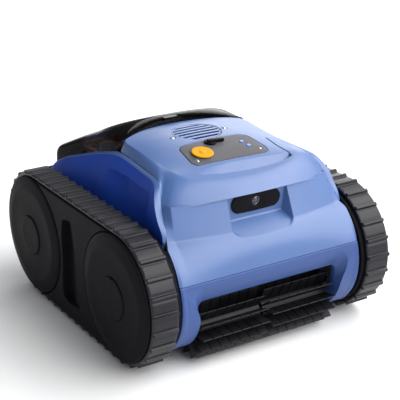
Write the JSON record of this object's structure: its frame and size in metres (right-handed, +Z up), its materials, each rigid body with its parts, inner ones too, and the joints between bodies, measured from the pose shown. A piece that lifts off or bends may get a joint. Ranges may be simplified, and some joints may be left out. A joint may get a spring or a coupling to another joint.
{
  "type": "robotic pool cleaner",
  "caption": "Tracked robotic pool cleaner with a split scrubbing roller, dished wheels inside rubber tracks, a handled deck with a round outlet and a smoked lid over its filter basket.",
  "frame": {"origin": "on the ground under the middle of the machine, half-way between the four axles", "axes": "+X across the machine to the right, -Y towards the front with the roller and the camera window, +Z up"},
  "size_m": [0.4308, 0.4768, 0.2867],
  "materials": {
    "deck_blue": "fine satin moulded plastic with a faint speckle",
    "frame_blue": "satin moulded plastic, a deeper blue",
    "tub_plastic": "dark moulded plastic",
    "black_plastic": "satin black moulded plastic",
    "track_rubber": "smooth moulded rubber",
    "seal_rubber": "soft black rubber",
    "panel_grey": "dark grey satin plate",
    "cap_yellow": "satin yellow moulded cap",
    "basket_orange": "orange moulded plastic",
    "natural_nylon": "natural nylon",
    "smoked_lid": "smoked transparent polycarbonate",
    "steel": "turned stainless steel",
    "brass_gear": "cut brass",
    "lens_black": "gloss black window",
    "cell_wrap": "shrink-wrapped cells",
    "board_green": "printed circuit board"
  },
  "bodies": {
    "chassis": {"base_tub": "tub_plastic", "bottom_plate": "tub_plastic", "front_frame": "frame_blue", "nose_shell": "deck_blue", "top_hood": "deck_blue", "side_fairing_left": "frame_blue", "side_fairing_right": "frame_blue", "rear_shell": "frame_blue", "filter_bay": "tub_plastic", "motor_box": "tub_plastic", "motor_box_cover": "tub_plastic", "motor_box_seal": "seal_rubber", "battery_pack": "cell_wrap", "circuit_board": "board_green", "pump_motor": "steel", "pump_housing": "tub_plastic", "vent_grille": "deck_blue", "vent_screws": "steel", "control_panel": "panel_grey", "charge_socket": "black_plastic", "indicator_lights": "frame_blue", "panel_screws": "steel", "camera_window": "lens_black", "camera_lens": "lens_black", "drive_motor_left": "steel", "drive_motor_right": "steel", "side_panel_left": "black_plastic", "side_panel_right": "black_plastic", "wheel_axles": "steel", "axle_bushes": "natural_nylon", "roller_axle": "steel", "lid_hinge_pin": "steel", "track_left": "track_rubber", "track_right": "track_rubber", "basket_frame": "basket_orange", "basket_mesh": "natural_nylon"},
    "front_wheel_left": {"front_wheel_left": "black_plastic", "drive_gear_left": "natural_nylon", "front_hub_cap_left": "black_plastic"},
    "front_wheel_right": {"front_wheel_right": "black_plastic", "drive_gear_right": "natural_nylon", "front_hub_cap_right": "black_plastic"},
    "rear_wheel_left": {"rear_wheel_left": "black_plastic", "rear_hub_cap_left": "black_plastic"},
    "rear_wheel_right": {"rear_wheel_right": "black_plastic", "rear_hub_cap_right": "black_plastic"},
    "pinion_left": {"motor_pinion_left": "brass_gear"},
    "pinion_right": {"motor_pinion_right": "brass_gear"},
    "roller_left": {"roller_core_left": "black_plastic", "roller_flaps_left": "track_rubber", "roller_gear_left": "natural_nylon"},
    "roller_right": {"roller_core_right": "black_plastic", "roller_flaps_right": "track_rubber", "roller_gear_right": "natural_nylon"},
    "impeller": {"impeller": "natural_nylon"},
    "lid": {"lid": "smoked_lid"},
    "lid_latch": {"lid_latch": "black_plastic"},
    "inlet_flap": {"inlet_flap": "seal_rubber"},
    "charge_cap": {"charge_cap": "cap_yellow"},
    "power_switch": {"power_switch": "black_plastic"}
  },
  "joints": [
    {"name": "front_wheel_left_spin", "type": "hinge", "parent": "chassis", "child": "front_wheel_left", "pos_m": [-0.185, -0.1354, 0.1031], "axis": [1, 0, 0], "continuous": true},
    {"name": "front_wheel_right_spin", "type": "hinge", "parent": "chassis", "child": "front_wheel_right", "pos_m": [0.185, -0.1354, 0.1031], "axis": [1, 0, 0], "continuous": true},
    {"name": "rear_wheel_left_spin", "type": "hinge", "parent": "chassis", "child": "rear_wheel_left", "pos_m": [-0.185, 0.1354, 0.1031], "axis": [1, 0, 0], "continuous": true},
    {"name": "rear_wheel_right_spin", "type": "hinge", "parent": "chassis", "child": "rear_wheel_right", "pos_m": [0.185, 0.1354, 0.1031], "axis": [1, 0, 0], "continuous": true},
    {"name": "pinion_left_spin", "type": "hinge", "parent": "chassis", "child": "pinion_left", "pos_m": [-0.148, -0.07216, 0.0781], "axis": [1, 0, 0], "continuous": true},
    {"name": "pinion_right_spin", "type": "hinge", "parent": "chassis", "child": "pinion_right", "pos_m": [0.148, -0.07216, 0.0781], "axis": [1, 0, 0], "continuous": true},
    {"name": "roller_left_spin", "type": "hinge", "parent": "chassis", "child": "roller_left", "pos_m": [-0.06, -0.17793, 0.0475], "axis": [1, 0, 0], "continuous": true},
    {"name": "roller_right_spin", "type": "hinge", "parent": "chassis", "child": "roller_right", "pos_m": [0.06, -0.17793, 0.0475], "axis": [1, 0, 0], "continuous": true},
    {"name": "impeller_spin", "type": "hinge", "parent": "chassis", "child": "impeller", "pos_m": [0, -0.016, 0.2], "axis": [0, 0, 1], "continuous": true},
    {"name": "lid_hinge", "type": "hinge", "parent": "chassis", "child": "lid", "pos_m": [0, 0.214, 0.19], "axis": [-1, 0, 0], "range_deg": [0, 95]},
    {"name": "lid_latch_slide", "type": "slide", "parent": "lid", "child": "lid_latch", "axis": [0, 1, 0], "range_m": [0, 0.004], "stiffness_N_per_m": 300},
    {"name": "inlet_flap_hinge", "type": "hinge", "parent": "chassis", "child": "inlet_flap", "pos_m": [0, 0.124, 0.0378], "axis": [-1, 0, 0], "range_deg": [0, 65]},
    {"name": "charge_cap_pull", "type": "slide", "parent": "chassis", "child": "charge_cap", "axis": [0, -0.1877, 0.9822], "range_m": [0, 0.014]},
    {"name": "power_switch_turn", "type": "hinge", "parent": "chassis", "child": "power_switch", "pos_m": [-0.008, -0.068, 0.27701], "axis": [0, -0.1304, 0.9915], "range_deg": [0, 45]}
  ],
  "couplings": [
    {"joint": "rear_wheel_left_spin", "follows": "front_wheel_left_spin", "ratio": 1},
    {"joint": "rear_wheel_right_spin", "follows": "front_wheel_right_spin", "ratio": 1},
    {"joint": "pinion_left_spin", "follows": "front_wheel_left_spin", "ratio": -3.5333},
    {"joint": "pinion_right_spin", "follows": "front_wheel_right_spin", "ratio": -3.5333},
    {"joint": "roller_left_spin", "follows": "front_wheel_left_spin", "ratio": -3.1176},
    {"joint": "roller_right_spin", "follows": "front_wheel_right_spin", "ratio": -3.1176}
  ]
}
